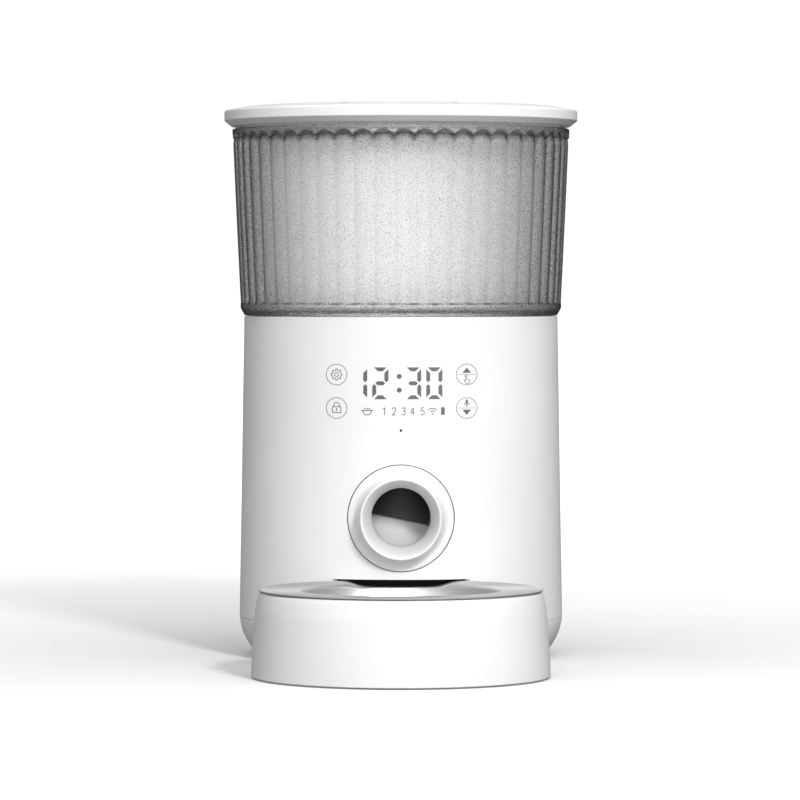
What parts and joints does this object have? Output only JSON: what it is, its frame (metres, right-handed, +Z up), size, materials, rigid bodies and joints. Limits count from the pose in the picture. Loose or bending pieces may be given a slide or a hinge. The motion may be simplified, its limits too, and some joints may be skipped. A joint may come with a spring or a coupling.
{
  "type": "automatic pet feeder",
  "caption": "Round dry-food feeder: reeded bin with a twist lid over a white body, a rotor that meters food to a front outlet, and a steel bowl in a slide-in stand.",
  "frame": {"origin": "on the floor, under the middle of the outline; the body's axis is 65.3 mm behind it and the bowl's 84.7 mm in front of it", "axes": "+Z up, -Y towards the front, where the outlet and the bowl are, +X to the right seen from the front"},
  "size_m": [0.1966, 0.3272, 0.306],
  "materials": {
    "shell_white": "smooth satin moulding",
    "smoked_plastic": "translucent, finely frosted",
    "inner_grey": "moulded",
    "dark_plastic": "moulded",
    "black_plastic": "fine grain",
    "nylon": "natural nylon",
    "silicone": "soft seal",
    "foot_rubber": "matte",
    "bowl_steel": "turned and brushed",
    "plain_steel": "plated",
    "brass": "machined",
    "circuit_board": "solder mask",
    "cell_wrap": "printed wrap, no lettering",
    "desiccant_paper": "porous"
  },
  "bodies": {
    "housing": {"outer_shell": "shell_white", "base_shell": "shell_white", "bowl_dock": "black_plastic", "foot_1": "foot_rubber", "foot_2": "foot_rubber", "foot_3": "foot_rubber", "foot_4": "foot_rubber", "base_screw_1": "plain_steel", "base_screw_2": "plain_steel", "base_screw_3": "plain_steel", "base_screw_4": "plain_steel", "hopper_funnel": "inner_grey", "rotor_chamber": "inner_grey", "portion_shield": "inner_grey", "shaft_bush": "brass", "chute": "inner_grey", "outlet_bezel": "shell_white", "ir_emitter": "black_plastic", "ir_receiver": "black_plastic", "idler_pin": "plain_steel", "drive_motor": "plain_steel", "gearbox_housing": "dark_plastic", "gearbox_cover": "dark_plastic", "touch_pad_1": "brass", "touch_pad_2": "brass", "touch_pad_3": "brass", "touch_pad_4": "brass", "display_board": "circuit_board", "display_block": "shell_white", "microphone": "black_plastic", "main_board": "circuit_board", "wifi_module": "plain_steel", "board_bracket": "inner_grey", "speaker": "black_plastic", "power_jack": "black_plastic", "battery_1": "cell_wrap", "battery_2": "cell_wrap", "battery_3": "cell_wrap", "battery_contacts": "plain_steel", "battery_box": "inner_grey"},
    "rotor_group": {"rotor": "dark_plastic", "stirrer": "dark_plastic", "rotor_shaft": "plain_steel", "output_gear": "nylon"},
    "idler": {"idler_gear": "nylon"},
    "pinion": {"motor_pinion": "brass"},
    "bin": {"food_bin": "smoked_plastic", "bin_seal_ring": "silicone"},
    "inner_lid": {"lid_plug": "dark_plastic", "lid_seal_ring": "silicone", "desiccant_cover": "shell_white", "desiccant_bag": "desiccant_paper"},
    "lid": {"lid_cover": "shell_white", "lid_pivot_screw": "plain_steel"},
    "bowl_stand": {"bowl_tray": "shell_white", "steel_bowl": "bowl_steel", "tray_foot_1": "foot_rubber", "tray_foot_2": "foot_rubber", "tray_foot_3": "foot_rubber"},
    "door": {"battery_door": "shell_white"}
  },
  "joints": [
    {"name": "rotor_spin", "type": "hinge", "parent": "housing", "child": "rotor_group", "pos_m": [0, 0.0653, 0.122], "axis": [0, 0, 1], "continuous": true},
    {"name": "idler_spin", "type": "hinge", "parent": "housing", "child": "idler", "pos_m": [0, 0.0953, 0.105], "axis": [0, 0, 1], "continuous": true},
    {"name": "pinion_spin", "type": "hinge", "parent": "housing", "child": "pinion", "pos_m": [0, 0.1153, 0.105], "axis": [0, 0, 1], "continuous": true},
    {"name": "bin_lift", "type": "slide", "parent": "housing", "child": "bin", "axis": [0, 0, 1], "range_m": [0, 0.06]},
    {"name": "lid_lift", "type": "slide", "parent": "bin", "child": "inner_lid", "axis": [0, 0, 1], "range_m": [0, 0.05]},
    {"name": "lid_turn", "type": "hinge", "parent": "inner_lid", "child": "lid", "pos_m": [0, 0.0653, 0.3], "axis": [0, 0, 1], "range_deg": [0, 25]},
    {"name": "stand_slide", "type": "slide", "parent": "housing", "child": "bowl_stand", "axis": [0, -1, 0], "range_m": [0, 0.08]},
    {"name": "battery_door_pull", "type": "slide", "parent": "housing", "child": "door", "axis": [0, 0, -1], "range_m": [0, 0.045]}
  ],
  "couplings": [
    {"joint": "idler_spin", "follows": "rotor_spin", "ratio": -1.4},
    {"joint": "pinion_spin", "follows": "rotor_spin", "ratio": 2.3333}
  ]
}
